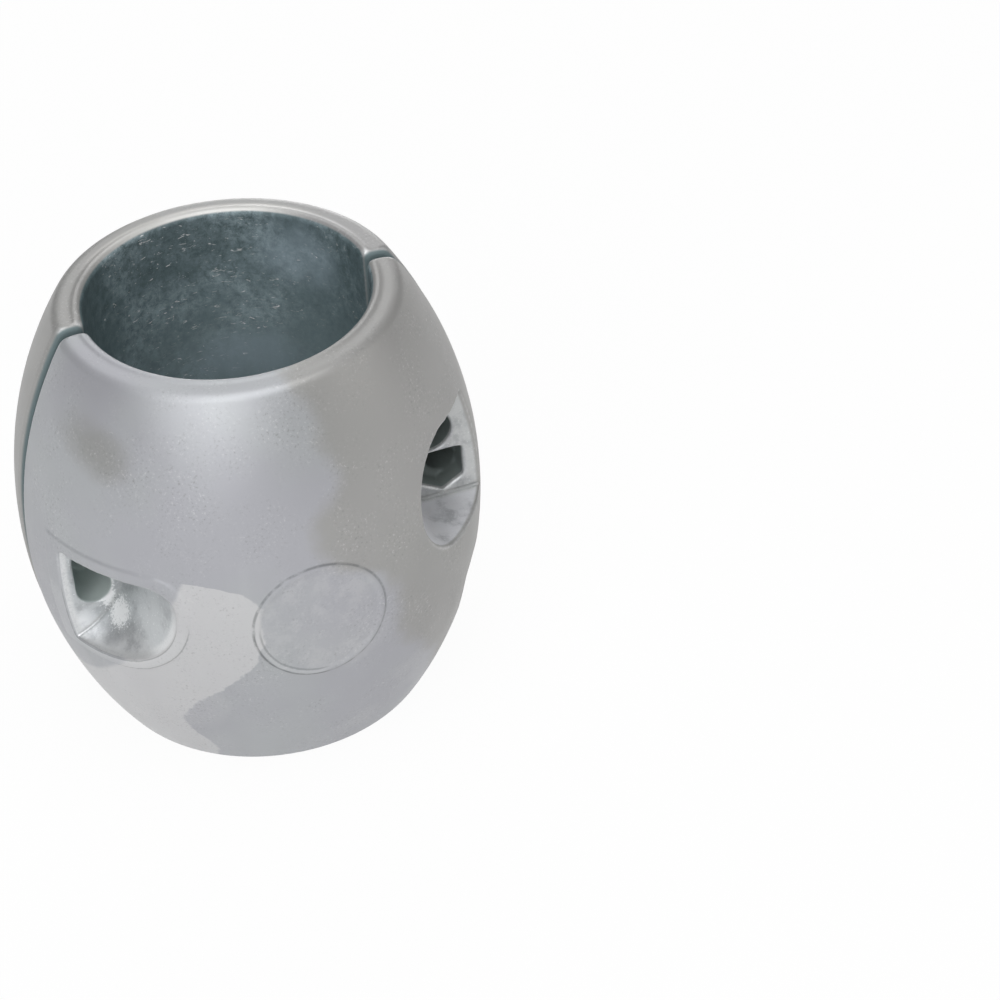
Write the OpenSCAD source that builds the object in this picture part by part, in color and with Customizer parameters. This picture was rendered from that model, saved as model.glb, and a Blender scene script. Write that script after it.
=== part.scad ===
// Split collar anode for a boat shaft: two equal cast zinc halves that stand as a pair.
// The bore axis is Z, the bottom end face lies on z = 0, and the split runs along X.

/* [Body] */
// Shaft bore diameter
bore_d = 50; // [40:0.5:54]
// Height between the end faces
body_h = 82.8; // [80:0.2:84]
// Largest outside diameter, at mid height
body_d = 83.4; // [80:0.2:92]
// Radius of the barrel curve from end to end
barrel_r = 77.6; // [70:0.2:100]
// Gap between the two halves
split_gap = 1.6; // [1:0.1:2.4]

/* [Rim] */
// Radius of the shoulder between barrel and end face
shoulder_r = 2.4; // [1.6:0.1:3.4]
// Width of the raised ring round the bore
ring_w = 1.6; // [1:0.1:1.6]
// Height of the raised ring
ring_h = 0.3; // [0.2:0.05:0.6]
// Lead-in at the bore edge
lead_in = 0.8; // [0.3:0.1:0.9]
// Rounding of the split edges
split_round = 1.6; // [0.8:0.1:2]

/* [Bolts] */
// Distance of each bolt axis from the bore axis
bolt_x = 32.7; // [32.3:0.1:33]
// Bolt axes above mid height
bolt_z = 2.3; // [1.8:0.1:2.6]
// Bolt hole diameter
bolt_hole_d = 5.5; // [5.2:0.1:5.8]
// Distance of the upright slot from the bore axis
slot_x = 33.5; // [33.3:0.1:34]
// Width of the upright slot
slot_w = 6.2; // [6:0.1:7]
// Foot of the slot below mid height
slot_low = 5.9; // [5:0.1:6.4]
// Top of the slot above mid height
slot_high = 6.4; // [6:0.1:6.8]
// Depth of the slot
slot_depth = 10; // [6:0.5:11]
// Nut size across flats
nut_af = 8; // [7.5:0.1:8.2]
// Play of the nut in its recess
nut_play = 0.2; // [0.1:0.05:0.3]
// Distance of the nut recess from the bore axis
nut_x = 31.5; // [31:0.1:32]
// Corner-down hexagon of the nut recess, its centre above mid height
nut_z = 3.1; // [2.8:0.1:3.4]
// Flat top of the nut recess above mid height
nut_top = 7.2; // [6.8:0.1:7.3]
// Depth of the nut recess
nut_depth = 4.5; // [3:0.5:6]

/* [Head pocket] */
// Distance of the pocket floor from the bore axis
head_floor_y = 15; // [14.4:0.1:16]
// Distance of the pocket's own axis from the bore axis
head_axis_x = 43.3; // [43:0.1:44]
// Height of the pocket's own axis above mid height
head_axis_z = 2.6; // [2:0.1:3.4]
// Pocket radius at the floor
head_floor_r = 15.8; // [15:0.1:16]
// Widening of the pocket per mm outwards
head_draft = 0.2; // [0.1:0.01:0.24]
// Pocket roof above mid height
head_top = 7.5; // [7.2:0.1:8.4]
// Pocket sill below mid height
head_sill = 12.8; // [11:0.1:13]
// Corner radius under the roof
head_corner_r = 4; // [2:0.5:5]
// How far the lip round the mouth stands out
lip_h = 0.3; // [0.2:0.05:0.4]
// Width of the lip along the wall and the sill
lip_w = 1.2; // [0.8:0.1:1.6]
// Width of the lip along the roof
lip_roof_w = 2.4; // [1.6:0.1:2.8]
// Depth by which the lip starts behind the pocket floor
lip_back = 3.5; // [2:0.5:5]

/* [Nut pocket] */
// Distance of the pocket floor from the bore axis
nut_floor_y = 15.6; // [15:0.1:16.4]
// Inner side of the floor, from the bore axis
nut_floor_in = 25; // [24:0.1:25.2]
// Outer side of the floor, from the bore axis, past the barrel
nut_floor_out = 40; // [39.5:0.1:41]
// Floor edge below mid height
nut_floor_low = 2.4; // [2.2:0.1:3.5]
// Floor edge above mid height
nut_floor_high = 19.4; // [18:0.1:20]
// Corner radius of the floor
nut_corner_r = 3; // [1.5:0.25:3.5]
// Mouth centre from the bore axis
nut_mouth_x = 29.8; // [29:0.1:31]
// Mouth centre above mid height
nut_mouth_z = 10.6; // [9.6:0.1:11]
// Mouth width
nut_mouth_w = 18; // [17:0.2:20]
// Mouth height
nut_mouth_h = 23.4; // [22:0.2:25]
// Centre of the round recess above mid height
side_hole_z = 11.9; // [11.7:0.1:12.2]
// Centre of the round recess from the bore axis
side_hole_x = 29.7; // [29.5:0.1:30.5]
// Round recess diameter
side_hole_d = 8.4; // [7.6:0.1:8.6]
// Depth of the round recess
side_hole_depth = 7; // [4:0.5:7.5]

/* [Round mark] */
// Diameter of the plain ring on the front of each half
mark_d = 23.5; // [20:0.5:26]
// Width of the ring
mark_w = 0.8; // [0.6:0.1:1.2]
// How far the ring stands out
mark_h = 0.25; // [0.15:0.05:0.4]
// Centre of the ring below mid height
mark_low = 1.4; // [0:0.2:4]

/* [Dent] */
// Radius of the blow that flattened the front half
dent_r = 20; // [16:1:26]
// Depth of the dent
dent_depth = 1.4; // [0.6:0.1:1.6]
// Direction of the dent round the bore axis, from the split
dent_turn = 30; // [24:1:36]
// Height of the dent below mid height
dent_low = 19; // [14:0.5:22]

/* [Colour] */
// Zinc tint
zinc = "silver"; // [silver, lightgray, darkgray]

/* [Hidden] */
eps = 0.1;
round_fn = 96;
hull_fn = 32;
mid_z = body_h / 2;
bore_r = bore_d / 2;
barrel_x = body_d / 2 - barrel_r;
end_z = mid_z - ring_h;
shoulder_z = end_z - shoulder_r;
shoulder_x = barrel_x + sqrt(pow(barrel_r - shoulder_r, 2) - pow(shoulder_z, 2));
tangent_z = shoulder_z * barrel_r / (barrel_r - shoulder_r);
// the nut pocket's mouth is drawn this far inside the widest point, the head pocket's as far outside
mouth_step = 4;
nut_mouth_y = body_d / 2 - mouth_step;
head_mouth_y = body_d / 2 + mouth_step;
nut_width = nut_af + nut_play;
nut_corner = nut_width / 2 / cos(30);
reach = body_d;
// a slightly larger circle crosses both faces, so the rounding leaves no sliver
over_share = 1.04;
round_over = split_round * over_share;

module barrel_profile() {
  // the barrel curve between the two shoulders
  intersection() {
    translate([barrel_x, mid_z]) circle(r = barrel_r, $fn = round_fn * 2);
    translate([0, mid_z - tangent_z]) square([reach, 2 * tangent_z]);
  }
  for (side = [-1, 1]) {
    translate([shoulder_x, mid_z + side * shoulder_z]) circle(r = shoulder_r, $fn = round_fn);
  }
  translate([0, ring_h]) square([shoulder_x, 2 * end_z]);
  square([bore_r + ring_w, body_h]);
}

module bore_cut() {
  translate([0, 0, -eps]) cylinder(r = bore_r, h = body_h + 2 * eps, $fn = round_fn);
  translate([0, 0, body_h - lead_in]) {
    cylinder(r1 = bore_r, r2 = bore_r + lead_in + eps, h = lead_in + eps, $fn = round_fn);
  }
  translate([0, 0, -eps]) {
    cylinder(r1 = bore_r + lead_in + eps, r2 = bore_r, h = lead_in + eps, $fn = round_fn);
  }
}

// what a rounding takes off a corner at the origin, the metal lying to the lower left
module corner_waste() {
  difference() {
    translate([-split_round, -split_round]) square(split_round * 2);
    translate([-split_round, -split_round]) circle(r = round_over, $fn = round_fn);
  }
}

// rounds the edges of the split face at the barrel, the end faces and the bore
module split_rounding() {
  for (flip = [0, 1]) {
    mirror([flip, 0, 0]) {
      translate([barrel_x, 0, mid_z]) rotate([-90, 0, 0]) rotate_extrude($fn = round_fn * 2) {
        translate([barrel_r, -split_gap / 2]) corner_waste();
      }
      translate([bore_r, -split_gap / 2, -eps]) linear_extrude(height = body_h + 2 * eps) {
        mirror([1, 0]) corner_waste();
      }
    }
    translate([-reach, 0, mid_z]) mirror([0, 0, flip]) rotate([90, 0, 90]) {
      linear_extrude(height = 2 * reach) translate([-split_gap / 2, mid_z]) corner_waste();
    }
  }
}

// keeps of its children what lies under a barrel surface raised by h
module raised(h) {
  intersection() {
    children();
    rotate_extrude($fn = round_fn) intersection() {
      translate([barrel_x, mid_z]) circle(r = barrel_r + h, $fn = round_fn * 2);
      translate([bore_r + ring_w, 0]) square([reach, body_h]);
    }
  }
}

// a thin plain ring that stands out of the barrel, with nothing inside it
module round_mark() {
  raised(mark_h) translate([0, 0, mid_z - mark_low]) rotate([90, 0, 0]) difference() {
    cylinder(d = mark_d, h = reach, $fn = round_fn);
    translate([0, 0, -eps]) cylinder(d = mark_d - 2 * mark_w, h = reach + 2 * eps, $fn = round_fn);
  }
}

// a ball pressed into the lower right of the barrel
module dent() {
  lean = asin(dent_low / barrel_r);
  out = barrel_r + dent_r - dent_depth;
  rotate([0, 0, -dent_turn]) translate([barrel_x + out * cos(lean), 0, mid_z - out * sin(lean)]) {
    sphere(r = dent_r, $fn = round_fn);
  }
}

// lays an XZ drawing into the wall: its back face at y, running outwards to -Y
module to_front(y, depth) {
  translate([0, -y, mid_z]) rotate([90, 0, 0]) linear_extrude(height = depth) children();
}

// a round pocket cut off by a flat roof and a flat sill
module head_outline(grow, rise, drop) {
  pocket_r = head_floor_r + grow;
  sill = head_sill + drop;
  corner_z = head_top + rise - head_corner_r;
  corner_x = -head_axis_x + sqrt(pow(pocket_r - head_corner_r, 2) - pow(corner_z - head_axis_z, 2));
  intersection() {
    translate([-head_axis_x, head_axis_z]) circle(r = pocket_r, $fn = round_fn);
    translate([-reach, -sill]) square([reach, sill + corner_z]);
  }
  translate([corner_x, corner_z]) circle(r = head_corner_r, $fn = hull_fn);
  translate([-reach, corner_z - eps]) square([reach + corner_x, head_corner_r + eps]);
}

// the pocket's tapering space, which the lip takes deeper, wider, higher and lower
module head_space(back, grow, rise, drop) {
  hull() {
    to_front(head_floor_y - back, eps) head_outline(grow, rise, drop);
    to_front(head_mouth_y, eps) head_outline(grow + head_draft * (head_mouth_y - head_floor_y), rise, drop);
  }
}

// a low collar round the mouth, widest along the roof
module head_lip() {
  raised(lip_h) head_space(lip_back, lip_w, lip_roof_w, lip_w);
}

module head_pocket() {
  head_space(0, 0, 0, 0);
  // upright slot that the bolt passes through
  to_front(head_floor_y - slot_depth, slot_depth + eps) {
    for (z = [slot_w / 2 - slot_low, slot_high - slot_w / 2]) {
      translate([-slot_x, z]) circle(d = slot_w, $fn = round_fn);
    }
    translate([-slot_x - slot_w / 2, slot_w / 2 - slot_low]) square([slot_w, slot_high + slot_low - slot_w]);
  }
}

module nut_pocket() {
  hull() {
    to_front(nut_floor_y, eps) {
      for (x = [nut_floor_in + nut_corner_r, nut_floor_out - nut_corner_r]) {
        for (z = [-nut_floor_low + nut_corner_r, nut_floor_high - nut_corner_r]) {
          translate([x, z]) circle(r = nut_corner_r, $fn = hull_fn);
        }
      }
    }
    to_front(nut_mouth_y, eps) {
      translate([nut_mouth_x, nut_mouth_z]) scale([nut_mouth_w / nut_mouth_h, 1]) {
        circle(d = nut_mouth_h, $fn = hull_fn);
      }
    }
  }
  // nut recess with a corner at the bottom and a flat top
  to_front(nut_floor_y - nut_depth, nut_depth + eps) {
    translate([nut_x, nut_z]) {
      polygon([[0, -nut_corner], [nut_width / 2, -nut_corner / 2], [nut_width / 2, nut_top - nut_z],
        [-nut_width / 2, nut_top - nut_z], [-nut_width / 2, -nut_corner / 2]]);
    }
  }
  to_front(nut_floor_y - side_hole_depth, side_hole_depth + eps) {
    translate([side_hole_x, side_hole_z]) circle(d = side_hole_d, $fn = round_fn);
  }
}

module half() {
  difference() {
    union() {
      rotate_extrude($fn = round_fn) barrel_profile();
      round_mark();
      head_lip();
    }
    bore_cut();
    translate([-reach, -split_gap / 2, -eps]) cube([2 * reach, 2 * reach, body_h + 2 * eps]);
    for (side = [-1, 1]) {
      translate([side * bolt_x, eps, mid_z + bolt_z]) rotate([90, 0, 0]) {
        cylinder(d = bolt_hole_d, h = head_floor_y, $fn = round_fn);
      }
    }
    split_rounding();
    head_pocket();
    nut_pocket();
  }
}

module front_half() {
  color(zinc) difference() {
    half();
    dent();
  }
}

module rear_half() {
  color(zinc) rotate([0, 0, 180]) half();
}

front_half();
rear_half();
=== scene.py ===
import math

import bmesh
import bpy
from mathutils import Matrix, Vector


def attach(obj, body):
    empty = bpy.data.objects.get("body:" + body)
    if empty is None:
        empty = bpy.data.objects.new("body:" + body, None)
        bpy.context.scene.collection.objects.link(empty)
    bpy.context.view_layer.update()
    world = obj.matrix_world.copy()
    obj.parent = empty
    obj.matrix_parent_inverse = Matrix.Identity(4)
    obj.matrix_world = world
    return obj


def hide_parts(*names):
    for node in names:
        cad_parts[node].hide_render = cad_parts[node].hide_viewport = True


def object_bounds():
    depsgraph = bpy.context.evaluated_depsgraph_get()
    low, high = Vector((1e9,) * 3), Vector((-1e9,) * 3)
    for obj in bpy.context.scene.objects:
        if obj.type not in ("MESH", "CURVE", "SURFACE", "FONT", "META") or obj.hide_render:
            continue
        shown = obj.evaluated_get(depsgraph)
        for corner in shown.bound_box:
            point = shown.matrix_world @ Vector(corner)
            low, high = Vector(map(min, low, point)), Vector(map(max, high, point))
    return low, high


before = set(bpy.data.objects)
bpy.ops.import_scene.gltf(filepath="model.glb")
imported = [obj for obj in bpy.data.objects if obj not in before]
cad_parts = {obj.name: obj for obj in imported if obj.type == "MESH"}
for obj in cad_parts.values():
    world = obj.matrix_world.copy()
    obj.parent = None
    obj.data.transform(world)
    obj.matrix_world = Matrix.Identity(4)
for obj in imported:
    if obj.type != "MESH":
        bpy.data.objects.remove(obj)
cadBox = [list(corner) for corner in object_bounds()]
scene = bpy.context.scene
scene.view_settings.view_transform = "Standard"

mm = 0.001
midHeight = (cadBox[0][2] + cadBox[1][2]) / 2
barrelHalf = (cadBox[1][1] - cadBox[0][1]) / 2  # radius at the widest point
barrelCurve = 77.6 * mm  # radius of the barrel's side from end to end


def tone(shown):
    # a grey or colour as the eye reads it on screen, 0 to 255,
    # turned into the linear value that a shader takes
    values = shown if isinstance(shown, (list, tuple)) else [shown] * 3
    out = []
    for v in values:
        c = v / 255
        out.append(c / 12.92 if c <= 0.04045 else ((c + 0.055) / 1.055) ** 2.4)
    return (*out, 1)


# helpers for node trees
def addNode(tree, kind, **settings):
    node = tree.nodes.new(kind)
    for key, value in settings.items():
        setattr(node, key, value)
    return node


def wire(tree, a, b):
    tree.links.new(a, b)


def feed(tree, value, socket):
    # a plain value is set on the socket, anything else is wired to it
    if isinstance(value, (int, float, tuple)):
        socket.default_value = value
    else:
        wire(tree, value, socket)


def maths(tree, how, a, b=None):
    node = addNode(tree, "ShaderNodeMath", operation=how)
    feed(tree, a, node.inputs[0])
    if b is not None:
        feed(tree, b, node.inputs[1])
    return node.outputs[0]


def product(tree, first, *others):
    for other in others:
        first = maths(tree, "MULTIPLY", first, other)
    return first


def vectorMaths(tree, how, a, b=None):
    node = addNode(tree, "ShaderNodeVectorMath", operation=how)
    feed(tree, a, node.inputs[0])
    if b is not None:
        feed(tree, b, node.inputs["Scale"] if how == "SCALE" else node.inputs[1])
    return node.outputs["Value"] if how in ("DOT_PRODUCT", "LENGTH") else node.outputs["Vector"]


def between(tree, value, low, high):
    # 0 at low, 1 at high, smooth in the middle
    node = addNode(tree, "ShaderNodeMapRange", interpolation_type="SMOOTHSTEP")
    feed(tree, value, node.inputs["Value"])
    feed(tree, low, node.inputs["From Min"])
    feed(tree, high, node.inputs["From Max"])
    return node.outputs["Result"]


def blendColours(tree, share, a, b):
    node = addNode(tree, "ShaderNodeMix", data_type="RGBA")
    feed(tree, share, node.inputs[0])
    feed(tree, a, node.inputs[6])
    feed(tree, b, node.inputs[7])
    return node.outputs[2]


def blend(tree, share, a, b):
    # towards a fixed colour or, where the far end is a number, towards that
    if isinstance(b, tuple):
        return blendColours(tree, share, a, b)
    node = addNode(tree, "ShaderNodeMix", data_type="FLOAT")
    feed(tree, share, node.inputs[0])
    feed(tree, a, node.inputs[2])
    feed(tree, b, node.inputs[3])
    return node.outputs[0]


def grain(tree, where, size, detail=3, rough=0.55, twist=0.0, stretch=None):
    # noise whose largest lumps are about this size
    if stretch:
        mapping = addNode(tree, "ShaderNodeMapping")
        mapping.inputs["Scale"].default_value = stretch
        wire(tree, where, mapping.inputs["Vector"])
        where = mapping.outputs[0]
    node = addNode(tree, "ShaderNodeTexNoise")
    node.inputs["Scale"].default_value = 1 / size
    node.inputs["Detail"].default_value = detail
    node.inputs["Roughness"].default_value = rough
    node.inputs["Distortion"].default_value = twist
    wire(tree, where, node.inputs["Vector"])
    return node.outputs["Fac"]


# camera, at the place where the photograph was taken from
cameraSpot = {
    "place": (-98.47 * mm, -426.86 * mm, midHeight + 340.17 * mm),
    "turn": (51.2913, 2.6593, -21.0069),
    "lens": 110.13,
    "sensor": 36,
    "near": 0.01,
    "far": 20,
}


def makeCamera(spot):
    data = bpy.data.cameras.new("photoCamera")
    data.lens = spot["lens"]
    data.sensor_width = spot["sensor"]
    data.clip_start = spot["near"]
    data.clip_end = spot["far"]
    obj = bpy.data.objects.new("photoCamera", data)
    scene.collection.objects.link(obj)
    obj.location = spot["place"]
    obj.rotation_euler = [math.radians(a) for a in spot["turn"]]
    scene.camera = obj


makeCamera(cameraSpot)
print("camera placed")

# cast zinc: its tones as the eye reads them on screen
zincTones = {
    "coolGrey": (190, 193, 196),
    "lilacGrey": (187, 188, 194),
    "paleGrey": (222, 222, 223),
    # painted shade on the right side and on the rear half's rim
    "oliveShadeGrey": (172, 171, 168),
    "darkPatchGrey": (158, 157, 153),
    "specklePale": 232,
    "speckleGrey": 120,
    # painted highlight on the far part of the rim
    "farRimHighlight": (238, 237, 233),
    "pocketGrey": (206, 210, 212),
    # painted light on the head pocket's lower wall
    "pocketLowLit": (248, 250, 252),
    "stainGrey": (142, 146, 150),
    "nutFloorGrey": (212, 214, 214),
    # painted light on the nut pocket's wall
    "nutScoopLit": (234, 235, 239),
    # painted highlight of the glints at the slot's foot
    "glintPale": (250, 252, 253),
    "boreDeep": (76, 93, 96),
    "boreGrey": (120, 138, 143),
    "borePale": (178, 195, 202),
    "boreLow": (164, 182, 187),
    "boreBlue": (172, 189, 200),
    "strokePale": 240,
    "splitGrey": (112, 128, 131),
    "slotGrey": (190, 200, 198),
    "recessGrey": (132, 141, 139),
    # painted highlight on edges and on the lip
    "edgeHighlight": (234, 236, 237),
    # painted shade in creases and along the feet of the lip and the round mark
    "creaseShade": (88, 92, 94),
}
# how strongly a tone or mark shows where it is full
shares = {
    "lobes": 0.14,
    "rearRim": 0.85,
    "oliveShade": 0.8,
    "paleFlow": 0.78,
    "darkPatch": 0.6,
    "speckleLight": 0.55,
    "speckleDark": 0.45,
    "farRim": 0.5,
    "markCloud": 0.22,
    "markFoot": 0.5,
    "stain": 0.5,
    "pocketDarkPatch": 0.55,
    # painted highlight and shade on edges, the lip and creases, from here to lipFoot
    "edge": 0.6,
    "pocketEdge": 0.95,
    "lip": 0.9,
    "edgeGaps": 0.65,
    "crease": 0.5,
    "lipTop": 0.22,
    "lipFoot": 0.35,
    "smear": 0.85,
    "boreLower": 0.55,
    "bloom": 0.45,
    "boreShade": 0.6,
}
zincFinish = {
    "metallic": 0.42,
    "dullMetallic": 0.2,
    "glintMetallic": 0.0,
    "roughness": 0.44,
    "smoother": 0.06,
    "rougher": 0.10,
    "glossyRoughness": 0.3,
    "dullRoughness": 0.6,
}
# where each zone of the casting starts and where it is full, in mm
zones = {
    # distance from the bore axis
    "bore": (25.5, 25.2),
    "pocketWall": (26.6, 27),
    "rimInner": (28.0, 27.2),
    "markFace": (36, 37),
    # distance from the split, or behind it
    "split": (1.5, 1.0),
    "pocketOffSplit": (4, 5),
    "recess": (14.9, 14.5),
    "nutScoop": (16.2, 17.4),
    "rearHalf": (-0.5, 0.5),
    "farRim": (14, 24),
    # distance to the right of the bore axis
    "nutSide": (-1, 1),
    # height above mid height
    "pocketsFoot": (-15, -13),
    "pocketsTop": (22, 20),
    "rimFace": (40.1, 40.6),
    "lobes": (4, -14),
    "rearRim": (12, 30),
    "headFoot": (-5, -10),
    "underHead": (1, -3),
    "boreLower": (38, 4),
    # depth below the barrel's surface, less than 0 on what is raised
    "pocketDepth": (0.4, 1.0),
    "lipIn": (0.0, 0.25),
    "lipOut": (1.5, 0.8),
    "headDepth": (6, 2),
    "lipTop": (-0.16, -0.24),
    "lipFootIn": (-0.05, -0.10),
    "lipFootOut": (-0.20, -0.14),
    # distance from the line along the round mark's foot
    "markFoot": (0.32, 0.08),
    # height above a line past the head pocket's right end
    "pastPocket": (56, 54),
}
# size of the largest lumps, with detail, roughness, twist and stretch where they aren't the usual ones
noises = {
    "cloud": {"size": 30 * mm},
    "lobes": {"size": 22 * mm, "detail": 2, "rough": 0.4},
    "speckle": {"size": 0.5 * mm, "rough": 0.7},
    "cluster": {"size": 9 * mm},
    "markCloud": {"size": 4 * mm, "detail": 5, "rough": 0.7},
    "markFoot": {"size": 2 * mm, "detail": 4, "rough": 0.7},
    "stain": {"size": 4 * mm, "detail": 4, "rough": 0.62},
    "flecks": {"size": 0.4 * mm, "detail": 2, "rough": 0.7},
    "smear": {"size": 16 * mm, "detail": 6, "rough": 0.62, "twist": 0.3},
    "mottle": {"size": 1.9 * mm, "detail": 7, "rough": 0.85, "twist": 0.3},
    "stroke": {"size": 0.8 * mm, "detail": 2, "rough": 0.6, "twist": 1.5, "stretch": (0.4, 0.4, 1.2)},
    "fine": {"size": 0.7 * mm, "rough": 0.6},
    "waves": {"size": 8 * mm, "rough": 0.5, "stretch": (1, 1, 1.6)},
    "pitCluster": {"size": 16 * mm, "detail": 2},
    "patchy": {"size": 6 * mm, "detail": 4},
}
# levels of a noise or mask between which something starts and is full
levels = {
    "cloud": (0.35, 0.65),
    "lobes": (0.55, 0.6),
    "speckleLight": (0.56, 0.72),
    "speckleDark": (0.45, 0.28),
    "cluster": (0.35, 0.7),
    "markCloud": (0.42, 0.62),
    "markFoot": (0.3, 0.6),
    "stain": (0.44, 0.7),
    "edgeFlecks": (0.34, 0.58),
    "glint": (0.2, 0.8),
    "mottle": (0.24, 0.76),
    "smear": (0.44, 0.66),
    "smearMottle": (0.34, 0.7),
    "stroke": (0.64, 0.73),
    "strokeSmear": (0.42, 0.58),
    "pitWall": (0.05, 0.16),
    "pitCluster": (0.50, 0.62),
}

# borders between tones, drawn as pairs of height and distance to the right, in mm
borderSpan = 100  # height and width that a drawn border's curve covers, in mm
# pale metal that flowed on last, low on the left, under a slanting line past the head pocket
paleFlow = {
    "border": (
        (-41, -18),
        (-34, -19),
        (-27, -23.5),
        (-20, -21.5),
        (-12, -15),
        (-6, -11),
        (1, -10),
        (6, -11),
        (8.5, -16),
        (10, -34),
    ),
    "slant": 2.08,
    "uneven": 5,
    "lumps": 7,
    "soft": 0.35,
}
# painted shade: the duller, darker right side
oliveShadeSide = {
    "border": (
        (-41, 26),
        (-24, 22),
        (-13, 16),
        (3, 13),
        (9, 4),
        (14, 1),
        (19, 2),
        (24, 6),
        (30, 5),
        (41, 2),
    ),
    "uneven": 7,
    "lumps": 7,
    "soft": 2.8,
}
# uneven rounded patches, placed in mm from the bore axis and mid height
# a darker patch high on the left of the front
darkPatch = {"centre": (-29.5, -17, 29.5), "size": (4, 11, 4), "uneven": 0.8, "lumps": 6, "soft": 0.6}
# a darker greenish part of the bore's wall, and bluish blooms on it
boreShade = {"centre": (-3, 24.5, 35), "size": (11, 8, 6.5), "uneven": 1.0, "lumps": 6, "soft": 0.5}
bloom = (
    {"centre": (18, 17, 33), "size": (7, 8, 6), "uneven": 1.2, "lumps": 5, "soft": 0.6},
    {"centre": (8, 23.5, 10), "size": (9, 7, 5), "uneven": 1.2, "lumps": 5, "soft": 0.6},
)
# painted highlight: bright glints at the foot of the slot, on both sides of the crease
paintedGlints = (
    {"centre": (-31.3, -15, -5.0), "size": (1.3, 1.6, 2.6), "uneven": 0.5, "lumps": 1.0, "soft": 0.7},
    {"centre": (-30.2, -18, -7.0), "size": (2.0, 2.6, 2.8), "uneven": 0.6, "lumps": 0.9, "soft": 0.7},
)
glintFlecks = 2.5  # how far the painted glints break up into flecks
# a darker patch on the wall below them
pocketDarkPatch = {
    "centre": (-33.0, -20.0, -9.1),
    "size": (2.5, 3.0, 2.3),
    "uneven": 0.8,
    "lumps": 1.5,
    "soft": 0.6,
}
# the plain raised ring, as drawn in the CAD model, in mm
roundMark = {"radius": 11.35, "foot": 11.95, "below": 1.4, "soft": 0.3}
# fine surface relief: how much each kind adds to the height
reliefLook = {
    "fine": 0.35,
    "pocketFine": 0.7,
    "waves": 0.9,
    "pits": 0.5,
    "pitSpacing": 3.8 * mm,
    "strength": 0.45,
    "height": 0.1 * mm,
}


def zincTone(name):
    return tone(zincTones[name])


def zone(tree, value, name):
    start, full = zones[name]
    return between(tree, value, start * mm, full * mm)


def level(tree, value, name):
    return between(tree, value, *levels[name])


def noise(tree, where, name):
    return grain(tree, where, **noises[name])


def patchMask(tree, where, patch):
    # 1 inside an uneven rounded patch, 0 outside it
    centre = tuple(v * mm for v in patch["centre"][:2]) + (midHeight + patch["centre"][2] * mm,)
    size = tuple(v * mm for v in patch["size"])
    scaled = vectorMaths(tree, "DIVIDE", vectorMaths(tree, "SUBTRACT", where, centre), size)
    uneven = maths(tree, "SUBTRACT", grain(tree, where, patch["lumps"] * mm), 0.5)
    uneven = product(tree, uneven, patch["uneven"])
    reach = maths(tree, "ADD", vectorMaths(tree, "LENGTH", scaled), uneven)
    return between(tree, reach, 1 + patch["soft"], 1 - patch["soft"])


def borderMask(tree, at, line, side):
    # 1 on one side of a drawn border: side -1 is left of it, 1 is right of it
    curve = addNode(tree, "ShaderNodeFloatCurve")
    points = [(0.5 + along / borderSpan, 0.5 + across / borderSpan) for along, across in line["border"]]
    track = curve.mapping.curves[0]
    track.points[0].location = points[0]
    track.points[1].location = points[-1]
    for point in points[1:-1]:
        track.points.new(*point)
    curve.mapping.update()
    span = borderSpan * mm
    wire(tree, maths(tree, "ADD", maths(tree, "DIVIDE", at["rise"], span), 0.5), curve.inputs["Value"])
    border = product(tree, maths(tree, "SUBTRACT", curve.outputs[0], 0.5), span)
    uneven = grain(tree, at["where"], line["lumps"] * mm, detail=4, rough=0.6)
    uneven = product(tree, maths(tree, "SUBTRACT", uneven, 0.5), line["uneven"] * mm)
    border = maths(tree, "ADD", border, uneven)
    past = product(tree, maths(tree, "SUBTRACT", at["turnedX"], border), side)
    return between(tree, past, -line["soft"] * mm, line["soft"] * mm)


def placesOn(tree):
    # where a point lies: along the axes, from the bore axis, the split and the barrel's surface
    where = addNode(tree, "ShaderNodeTexCoord").outputs["Object"]
    axes = addNode(tree, "ShaderNodeSeparateXYZ")
    wire(tree, where, axes.inputs[0])
    x, y, z = axes.outputs
    rise = maths(tree, "SUBTRACT", z, midHeight)
    radius = maths(tree, "SQRT", maths(tree, "ADD", product(tree, x, x), product(tree, y, y)))
    side = maths(tree, "SQRT", maths(tree, "SUBTRACT", barrelCurve**2, product(tree, rise, rise)))
    return {
        "where": where,
        "x": x,
        "y": y,
        "rise": rise,
        "offSplit": maths(tree, "ABSOLUTE", y),
        "radius": radius,
        "depth": maths(tree, "SUBTRACT", maths(tree, "ADD", side, barrelHalf - barrelCurve), radius),
        # the rear half is the same casting, turned round
        "turnedX": product(tree, x, maths(tree, "SIGN", y), -1),
    }


def masksOn(tree, at):
    # which part of the casting a point belongs to
    nutSide = zone(tree, at["turnedX"], "nutSide")
    headSide = maths(tree, "SUBTRACT", 1, nutSide)
    # the band of heights that holds both pockets, outside the bore's wall and off the split
    band = product(
        tree,
        zone(tree, at["rise"], "pocketsFoot"),
        zone(tree, at["rise"], "pocketsTop"),
        zone(tree, at["radius"], "pocketWall"),
        zone(tree, at["offSplit"], "pocketOffSplit"),
    )
    lip = product(tree, zone(tree, at["depth"], "lipIn"), zone(tree, at["depth"], "lipOut"))
    pocket = product(tree, band, zone(tree, at["depth"], "pocketDepth"))
    return {
        "bore": zone(tree, at["radius"], "bore"),
        "split": zone(tree, at["offSplit"], "split"),
        "nutSide": nutSide,
        "headSide": headSide,
        "band": band,
        "pocket": pocket,
        "recess": product(tree, pocket, zone(tree, at["offSplit"], "recess")),
        "lip": product(tree, lip, band, headSide),
    }


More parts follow.
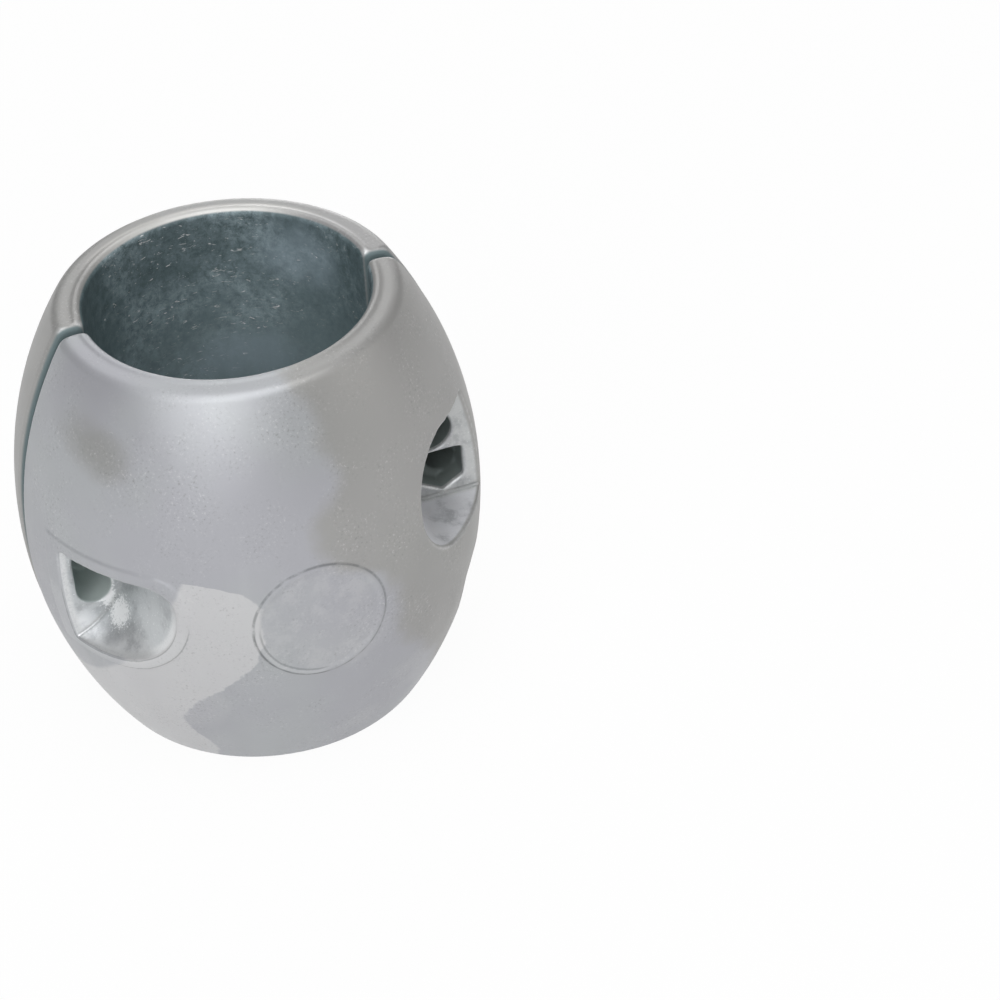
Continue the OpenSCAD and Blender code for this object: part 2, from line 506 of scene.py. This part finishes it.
def barrelColour(tree, at):
    where = at["where"]
    cloud = level(tree, noise(tree, where, "cloud"), "cloud")
    colour = blend(tree, cloud, zincTone("coolGrey"), zincTone("lilacGrey"))
    # cold flow: lobes with fairly crisp borders in the lower half
    lobes = level(tree, noise(tree, where, "lobes"), "lobes")
    flow = product(tree, lobes, zone(tree, at["rise"], "lobes"), shares["lobes"])
    colour = blend(tree, flow, colour, zincTone("paleGrey"))
    # painted shade: duller and darker on the right, and up to the rim on the rear half
    oliveShade = borderMask(tree, at, oliveShadeSide, 1)
    rearHalf = zone(tree, at["y"], "rearHalf")
    rearRim = product(tree, rearHalf, zone(tree, at["rise"], "rearRim"), shares["rearRim"])
    oliveShade = maths(tree, "MAXIMUM", oliveShade, rearRim)
    colour = blend(tree, product(tree, oliveShade, shares["oliveShade"]), colour, zincTone("oliveShadeGrey"))
    pale = borderMask(tree, at, paleFlow, -1)
    slanted = maths(tree, "SUBTRACT", at["rise"], product(tree, at["turnedX"], paleFlow["slant"]))
    pale = product(tree, pale, zone(tree, slanted, "pastPocket"), shares["paleFlow"])
    colour = blend(tree, pale, colour, zincTone("paleGrey"))
    dark = product(tree, patchMask(tree, where, darkPatch), shares["darkPatch"])
    return blend(tree, dark, colour, zincTone("darkPatchGrey"))


def speckled(tree, where, colour):
    # fine light and dark speckle of the casting skin, in loose clusters
    speckle = noise(tree, where, "speckle")
    cluster = level(tree, noise(tree, where, "cluster"), "cluster")
    light = product(tree, level(tree, speckle, "speckleLight"), cluster, shares["speckleLight"])
    dark = product(tree, level(tree, speckle, "speckleDark"), cluster, shares["speckleDark"])
    colour = blend(tree, light, colour, zincTone("specklePale"))
    return blend(tree, dark, colour, zincTone("speckleGrey"))


def rimColour(tree, at, colour):
    # painted highlight: the far part of the rim is paler
    rim = product(tree, zone(tree, at["rise"], "rimFace"), zone(tree, at["radius"], "rimInner"))
    rim = product(tree, rim, zone(tree, at["y"], "farRim"), shares["farRim"])
    return blend(tree, rim, colour, zincTone("farRimHighlight"))


def markColour(tree, at, colour):
    # the round mark: a little cloudy inside, with painted shade as a broken dark line along its foot
    markRise = maths(tree, "ADD", at["rise"], roundMark["below"] * mm)
    away = maths(tree, "ADD", product(tree, at["x"], at["x"]), product(tree, markRise, markRise))
    away = maths(tree, "SQRT", away)
    onFace = zone(tree, at["radius"], "markFace")
    outer = roundMark["radius"] + roundMark["soft"]
    inner = roundMark["radius"] - roundMark["soft"]
    inMark = between(tree, away, outer * mm, inner * mm)
    cloudy = level(tree, noise(tree, at["where"], "markCloud"), "markCloud")
    cloudy = product(tree, inMark, onFace, cloudy, shares["markCloud"])
    colour = blend(tree, cloudy, colour, zincTone("paleGrey"))
    offFoot = maths(tree, "ABSOLUTE", maths(tree, "SUBTRACT", away, roundMark["foot"] * mm))
    broken = level(tree, noise(tree, at["where"], "markFoot"), "markFoot")
    foot = product(tree, zone(tree, offFoot, "markFoot"), onFace, broken, shares["markFoot"])
    return blend(tree, foot, colour, zincTone("creaseShade"))


def pocketColour(tree, at, mask):
    # stained floors and walls, with painted light: palest low in the head pocket and on the nut pocket's
    # wall
    scoop = zone(tree, at["offSplit"], "nutScoop")
    nutColour = blend(tree, scoop, zincTone("nutFloorGrey"), zincTone("nutScoopLit"))
    foot = product(tree, zone(tree, at["rise"], "headFoot"), zone(tree, at["depth"], "headDepth"))
    headColour = blend(tree, foot, zincTone("pocketGrey"), zincTone("pocketLowLit"))
    colour = blendColours(tree, mask["nutSide"], headColour, nutColour)
    stain = level(tree, noise(tree, at["where"], "stain"), "stain")
    colour = blend(tree, product(tree, stain, shares["stain"]), colour, zincTone("stainGrey"))
    dull = product(tree, patchMask(tree, at["where"], pocketDarkPatch), shares["pocketDarkPatch"])
    return blend(tree, dull, colour, zincTone("stainGrey"))


def glintShare(tree, where, flecks):
    # the painted glints, with flecked borders
    spots = maths(tree, "MAXIMUM", *[patchMask(tree, where, patch) for patch in paintedGlints])
    flecked = product(tree, maths(tree, "SUBTRACT", flecks, 0.5), glintFlecks)
    return level(tree, maths(tree, "ADD", spots, flecked), "glint")


def edgeColour(tree, at, mask, edge, crease, flecks, colour):
    # painted highlight on edges, broken by flecks, and painted shade in creases
    edgeShare = product(tree, edge, blend(tree, mask["pocket"], shares["edge"], shares["pocketEdge"]))
    bright = maths(tree, "MAXIMUM", edgeShare, product(tree, mask["lip"], shares["lip"]))
    gaps = blend(tree, level(tree, flecks, "edgeFlecks"), shares["edgeGaps"], 1.0)
    colour = blend(tree, product(tree, bright, gaps), colour, zincTone("edgeHighlight"))
    colour = blend(tree, product(tree, crease, shares["crease"]), colour, zincTone("creaseShade"))
    # the raised lip under the head pocket: painted highlight on top, painted shade along its foot
    under = product(tree, mask["band"], mask["headSide"], zone(tree, at["rise"], "underHead"))
    lipTop = product(tree, under, zone(tree, at["depth"], "lipTop"), shares["lipTop"])
    colour = blend(tree, lipTop, colour, zincTone("edgeHighlight"))
    lipFoot = product(tree, zone(tree, at["depth"], "lipFootIn"), zone(tree, at["depth"], "lipFootOut"))
    lipFoot = product(tree, lipFoot, under, shares["lipFoot"])
    return blend(tree, lipFoot, colour, zincTone("creaseShade"))


def boreColour(tree, at):
    # dark and mottled, with pale smears and short strokes round the wall, paler further down
    where = at["where"]
    smear = noise(tree, where, "smear")
    mottle = noise(tree, where, "mottle")
    colour = blend(tree, level(tree, mottle, "mottle"), zincTone("boreDeep"), zincTone("boreGrey"))
    smeared = product(tree, level(tree, smear, "smear"), level(tree, mottle, "smearMottle"), shares["smear"])
    colour = blend(tree, smeared, colour, zincTone("borePale"))
    lower = product(tree, zone(tree, at["rise"], "boreLower"), shares["boreLower"])
    colour = blend(tree, lower, colour, zincTone("boreLow"))
    blue = maths(tree, "MAXIMUM", *[patchMask(tree, where, patch) for patch in bloom])
    colour = blend(tree, product(tree, blue, shares["bloom"]), colour, zincTone("boreBlue"))
    shaded = product(tree, patchMask(tree, where, boreShade), shares["boreShade"])
    colour = blend(tree, shaded, colour, zincTone("boreDeep"))
    stroke = level(tree, noise(tree, where, "stroke"), "stroke")
    stroke = product(tree, stroke, level(tree, smear, "strokeSmear"))
    return blend(tree, stroke, colour, zincTone("strokePale"))


def relief(tree, where, inPocket, look):
    # skin grain, shallow flow waves and scattered pits
    pits = addNode(tree, "ShaderNodeTexVoronoi", feature="F1")
    pits.inputs["Scale"].default_value = 1 / look["pitSpacing"]
    wire(tree, where, pits.inputs["Vector"])
    pitWall = level(tree, pits.outputs["Distance"], "pitWall")
    pitted = level(tree, noise(tree, where, "pitCluster"), "pitCluster")
    pitDrop = product(tree, maths(tree, "SUBTRACT", pitWall, 1), pitted, look["pits"])
    fineShare = maths(tree, "ADD", look["fine"], product(tree, inPocket, look["pocketFine"]))
    fine = product(tree, noise(tree, where, "fine"), fineShare)
    waves = product(tree, noise(tree, where, "waves"), look["waves"])
    height = maths(tree, "ADD", maths(tree, "ADD", fine, waves), pitDrop)
    bump = addNode(tree, "ShaderNodeBump")
    bump.inputs["Strength"].default_value = look["strength"]
    bump.inputs["Distance"].default_value = look["height"]
    wire(tree, height, bump.inputs["Height"])
    return bump.outputs[0]


def ownValue(tree, name):
    # a value that the casting skin stored on its points
    node = addNode(tree, "ShaderNodeAttribute", attribute_type="GEOMETRY", attribute_name=name)
    return node.outputs["Fac"]


def makeZinc(finish):
    mat = bpy.data.materials.new("castZinc")
    mat.use_nodes = True
    tree = mat.node_tree
    shader = tree.nodes["Principled BSDF"]
    at = placesOn(tree)
    mask = masksOn(tree, at)
    edge = ownValue(tree, "edgeShare")
    crease = ownValue(tree, "creaseShare")
    flecks = noise(tree, at["where"], "flecks")
    # painted highlight: pale, non-metallic glints, only inside the pockets
    glint = product(tree, glintShare(tree, at["where"], flecks), mask["pocket"])

    colour = speckled(tree, at["where"], barrelColour(tree, at))
    colour = rimColour(tree, at, colour)
    colour = markColour(tree, at, colour)
    colour = blendColours(tree, mask["pocket"], colour, pocketColour(tree, at, mask))
    # painted highlight of the glints
    colour = blend(tree, glint, colour, zincTone("glintPale"))
    colour = edgeColour(tree, at, mask, edge, crease, flecks, colour)
    recessColour = blend(tree, mask["nutSide"], zincTone("slotGrey"), zincTone("recessGrey"))
    colour = blendColours(tree, mask["recess"], colour, recessColour)
    colour = blendColours(tree, mask["bore"], colour, boreColour(tree, at))
    colour = blend(tree, mask["split"], colour, zincTone("splitGrey"))
    wire(tree, colour, shader.inputs["Base Color"])

    dull = maths(tree, "MAXIMUM", maths(tree, "MAXIMUM", mask["bore"], mask["split"]), mask["recess"])
    loss = product(tree, dull, finish["metallic"] - finish["dullMetallic"])
    shine = maths(tree, "SUBTRACT", finish["metallic"], loss)
    wire(tree, blend(tree, glint, shine, finish["glintMetallic"]), shader.inputs["Metallic"])

    patchy = addNode(tree, "ShaderNodeMapRange")
    patchy.inputs["To Min"].default_value = finish["roughness"] - finish["smoother"]
    patchy.inputs["To Max"].default_value = finish["roughness"] + finish["rougher"]
    wire(tree, noise(tree, at["where"], "patchy"), patchy.inputs["Value"])
    inHead = product(tree, mask["pocket"], mask["headSide"])
    glossy = maths(tree, "MAXIMUM", maths(tree, "MAXIMUM", edge, mask["lip"]), inHead)
    rough = blend(tree, glossy, patchy.outputs[0], finish["glossyRoughness"])
    wire(tree, blend(tree, dull, rough, finish["dullRoughness"]), shader.inputs["Roughness"])
    wire(tree, relief(tree, at["where"], mask["pocket"], reliefLook), shader.inputs["Normal"])
    return mat


zinc = makeZinc(zincFinish)
print("zinc material made")

# the casting skin: the CAD half with soft edges and a faint ripple
skin = {
    "merge": 0.001 * mm,
    "voxel": 0.3 * mm,
    "evening": 2,
    "compareSteps": 4,
    "shareSteps": 2,
    "rounding": 10,
    "sharpFrom": 0.03 * mm,
    "sharpTo": 0.08 * mm,
    "creaseFrom": 0.03 * mm,
    "creaseTo": 0.08 * mm,
    "rippleSize": 11 * mm,
    "rippleDetail": 2,
    "ripple": 0.10 * mm,
    "seed": 4.0,
    "triangles": 190000,
}


def liveSockets(sockets):
    return [socket for socket in sockets if socket.enabled]


def blur(tree, value, steps, weight, kind="FLOAT_VECTOR"):
    node = addNode(tree, "GeometryNodeBlurAttribute", data_type=kind)
    for given, socket in zip((value, steps, weight), liveSockets(node.inputs)):
        feed(tree, given, socket)
    return liveSockets(node.outputs)[0]


def store(tree, geometry, name, value):
    node = addNode(tree, "GeometryNodeStoreNamedAttribute", data_type="FLOAT", domain="POINT")
    node.inputs["Name"].default_value = name
    wire(tree, geometry, node.inputs["Geometry"])
    wire(tree, value, [s for s in liveSockets(node.inputs) if s.name == "Value"][0])
    return node.outputs[0]


def skinTree(look):
    # evens the mesh, rounds only the edges that stand out, and adds a faint ripple
    tree = bpy.data.node_groups.new("castingSkin", "GeometryNodeTree")
    face = tree.interface
    face.new_socket("Geometry", in_out="INPUT", socket_type="NodeSocketGeometry")
    ids = {}
    for name, kind, key in (
        ("Evening", "Int", "evening"),
        ("Edge rounding", "Int", "rounding"),
        ("Sharp from", "Float", "sharpFrom"),
        ("Sharp to", "Float", "sharpTo"),
        ("Crease from", "Float", "creaseFrom"),
        ("Crease to", "Float", "creaseTo"),
        ("Ripple size", "Float", "rippleSize"),
        ("Ripple depth", "Float", "ripple"),
        ("Seed", "Float", "seed"),
    ):
        socket = face.new_socket(name, in_out="INPUT", socket_type="NodeSocket" + kind)
        socket.default_value = look[key]
        ids[socket.identifier] = look[key]
    metal = face.new_socket("Metal", in_out="INPUT", socket_type="NodeSocketMaterial")
    ids[metal.identifier] = zinc
    face.new_socket("Geometry", in_out="OUTPUT", socket_type="NodeSocketGeometry")
    start = addNode(tree, "NodeGroupInput")
    end = addNode(tree, "NodeGroupOutput")
    position = addNode(tree, "GeometryNodeInputPosition").outputs[0]
    normal = addNode(tree, "GeometryNodeInputNormal").outputs[0]

    even = addNode(tree, "GeometryNodeSetPosition")
    wire(tree, start.outputs["Geometry"], even.inputs["Geometry"])
    wire(tree, blur(tree, position, start.outputs["Evening"], 1.0), even.inputs["Position"])

    # how far a point stands out from its neighbours, or lies back from them
    lag = vectorMaths(tree, "SUBTRACT", position, blur(tree, position, look["compareSteps"], 1.0))
    standOut = vectorMaths(tree, "DOT_PRODUCT", lag, normal)
    standOut = blur(tree, standOut, look["shareSteps"], 1.0, "FLOAT")
    layBack = maths(tree, "MULTIPLY", standOut, -1.0)
    sharp = between(tree, standOut, start.outputs["Sharp from"], start.outputs["Sharp to"])
    hollow = between(tree, layBack, start.outputs["Crease from"], start.outputs["Crease to"])
    marked = store(tree, even.outputs[0], "edgeShare", sharp)
    marked = store(tree, marked, "creaseShare", hollow)
    share = addNode(tree, "GeometryNodeInputNamedAttribute", data_type="FLOAT")
    share.inputs["Name"].default_value = "edgeShare"
    soften = addNode(tree, "GeometryNodeSetPosition")
    wire(tree, marked, soften.inputs["Geometry"])
    rounded = blur(tree, position, start.outputs["Edge rounding"], liveSockets(share.outputs)[0])
    wire(tree, rounded, soften.inputs["Position"])

    waves = addNode(tree, "ShaderNodeTexNoise", noise_dimensions="4D")
    waves.inputs["Detail"].default_value = look["rippleDetail"]
    wire(tree, position, waves.inputs["Vector"])
    wire(tree, maths(tree, "DIVIDE", 1.0, start.outputs["Ripple size"]), waves.inputs["Scale"])
    wire(tree, start.outputs["Seed"], waves.inputs["W"])
    lift = product(tree, maths(tree, "SUBTRACT", waves.outputs[0], 0.5), start.outputs["Ripple depth"])
    move = addNode(tree, "GeometryNodeSetPosition")
    wire(tree, soften.outputs[0], move.inputs["Geometry"])
    wire(tree, vectorMaths(tree, "SCALE", normal, lift), move.inputs["Offset"])
    # nothing stands outside the CAD model's box, and the end faces stay level
    hold = addNode(tree, "GeometryNodeSetPosition")
    wire(tree, move.outputs[0], hold.inputs["Geometry"])
    held = vectorMaths(tree, "MAXIMUM", position, tuple(cadBox[0]))
    wire(tree, vectorMaths(tree, "MINIMUM", held, tuple(cadBox[1])), hold.inputs["Position"])
    real = addNode(tree, "GeometryNodeRealizeInstances")
    wire(tree, hold.outputs[0], real.inputs[0])
    paint = addNode(tree, "GeometryNodeSetMaterial")
    wire(tree, real.outputs[0], paint.inputs["Geometry"])
    wire(tree, start.outputs["Metal"], paint.inputs["Material"])
    wire(tree, paint.outputs[0], end.inputs[0])
    return tree, ids


castingSkin, skinValues = skinTree(skin)


def bake(obj):
    # the evaluated mesh of a helper object, which is then removed
    bpy.context.view_layer.update()
    seen = obj.evaluated_get(bpy.context.evaluated_depsgraph_get())
    baked = bpy.data.meshes.new_from_object(seen)
    obj.modifiers.clear()
    bpy.data.objects.remove(obj)
    return baked


def helperObject(name, mesh):
    obj = bpy.data.objects.new(name, mesh)
    scene.collection.objects.link(obj)
    return obj


def mergedCopy(nodeName):
    # a CAD node's mesh is loose triangles, so its copy is joined up first
    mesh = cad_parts[nodeName].data.copy()
    work = bmesh.new()
    work.from_mesh(mesh)
    bmesh.ops.remove_doubles(work, verts=work.verts, dist=skin["merge"])
    work.to_mesh(mesh)
    work.free()
    mesh.materials.clear()
    return mesh


def dressHalf(nodeName, pieceName):
    raw = helperObject(pieceName + "Raw", mergedCopy(nodeName))
    remesh = raw.modifiers.new("evenMesh", "REMESH")
    remesh.mode = "VOXEL"
    remesh.voxel_size = skin["voxel"]
    dress = raw.modifiers.new("castingSkin", "NODES")
    dress.node_group = castingSkin
    for identifier, value in skinValues.items():
        dress[identifier] = value
    fine = helperObject(pieceName + "Fine", bake(raw))
    thin = fine.modifiers.new("thinFlats", "DECIMATE")
    thin.ratio = min(1, skin["triangles"] / (2 * len(fine.data.polygons)))
    piece = helperObject(pieceName, bake(fine))
    for polygon in piece.data.polygons:
        polygon.use_smooth = True
    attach(piece, "root")
    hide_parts(nodeName)
    print(pieceName, len(piece.data.polygons), "faces")


dressHalf("front_half", "frontCasting")
dressHalf("rear_half", "rearCasting")

# a plain pale floor, white to the camera, that keeps the shadow
floorLook = {"size": 6.0, "whiteShare": 0.9, "glow": 1.06, "paint": 175, "roughness": 0.9}


def makeFloor(look):
    mesh = bpy.data.meshes.new("floor")
    half = look["size"] / 2
    corners = [(-half, -half, 0), (half, -half, 0), (half, half, 0), (-half, half, 0)]
    mesh.from_pydata(corners, [], [(0, 1, 2, 3)])
    obj = bpy.data.objects.new("floor", mesh)
    scene.collection.objects.link(obj)
    mat = bpy.data.materials.new("paleFloor")
    mat.use_nodes = True
    tree = mat.node_tree
    shader = tree.nodes["Principled BSDF"]
    shader.inputs["Base Color"].default_value = tone(look["paint"])
    shader.inputs["Roughness"].default_value = look["roughness"]
    glow = addNode(tree, "ShaderNodeEmission")
    glow.inputs["Strength"].default_value = look["glow"]
    rays = addNode(tree, "ShaderNodeLightPath")
    seen = maths(tree, "MAXIMUM", rays.outputs["Is Camera Ray"], rays.outputs["Is Glossy Ray"])
    seen = maths(tree, "MAXIMUM", seen, rays.outputs["Is Transmission Ray"])
    mix = addNode(tree, "ShaderNodeMixShader")
    wire(tree, product(tree, seen, look["whiteShare"]), mix.inputs[0])
    wire(tree, shader.outputs[0], mix.inputs[1])
    wire(tree, glow.outputs[0], mix.inputs[2])
    wire(tree, mix.outputs[0], tree.nodes["Material Output"].inputs["Surface"])
    mesh.materials.append(mat)


makeFloor(floorLook)

# soft studio light: a broad lamp in front on the left, one overhead and weak ones beside and behind
lamps = {
    "key": {"place": (-0.62, -0.95, 0.86), "size": 1.3, "power": 11.5, "tint": (1.0, 1.0, 1.0)},
    "top": {"place": (0.0, -0.25, 1.25), "size": 1.2, "power": 8.0, "tint": (1.0, 1.0, 1.0)},
    "fill": {"place": (0.9, -0.5, 0.5), "size": 0.8, "power": 1.6, "tint": (1.0, 0.98, 0.95)},
    "back": {"place": (0.1, 0.8, 0.9), "size": 0.8, "power": 2.0, "tint": (1.0, 1.0, 1.0)},
    "low": {"place": (0.45, 1.15, 0.14), "size": 0.6, "power": 3.0, "tint": (1.0, 1.0, 1.0)},
}
worldLevel = {"light": 0.6, "seen": 1.0}  # strength on the object, and as the camera sees it


def makeLamp(name, setting):
    data = bpy.data.lights.new(name, "AREA")
    data.shape = "DISK"
    data.size = setting["size"]
    data.energy = setting["power"]
    data.color = setting["tint"]
    obj = bpy.data.objects.new(name, data)
    scene.collection.objects.link(obj)
    obj.location = setting["place"]
    aim = Vector((0, 0, midHeight)) - Vector(setting["place"])
    obj.rotation_euler = aim.to_track_quat("-Z", "Y").to_euler()


def makeWorld(strength):
    world = bpy.data.worlds.new("studio")
    scene.world = world
    world.use_nodes = True
    tree = world.node_tree
    rays = addNode(tree, "ShaderNodeLightPath")
    mixed = addNode(tree, "ShaderNodeMapRange")
    mixed.inputs["To Min"].default_value = strength["light"]
    mixed.inputs["To Max"].default_value = strength["seen"]
    wire(tree, rays.outputs["Is Camera Ray"], mixed.inputs["Value"])
    wire(tree, mixed.outputs[0], tree.nodes["Background"].inputs["Strength"])


for lampName, lampSetting in lamps.items():
    makeLamp(lampName, lampSetting)
makeWorld(worldLevel)
print("floor and lights set")
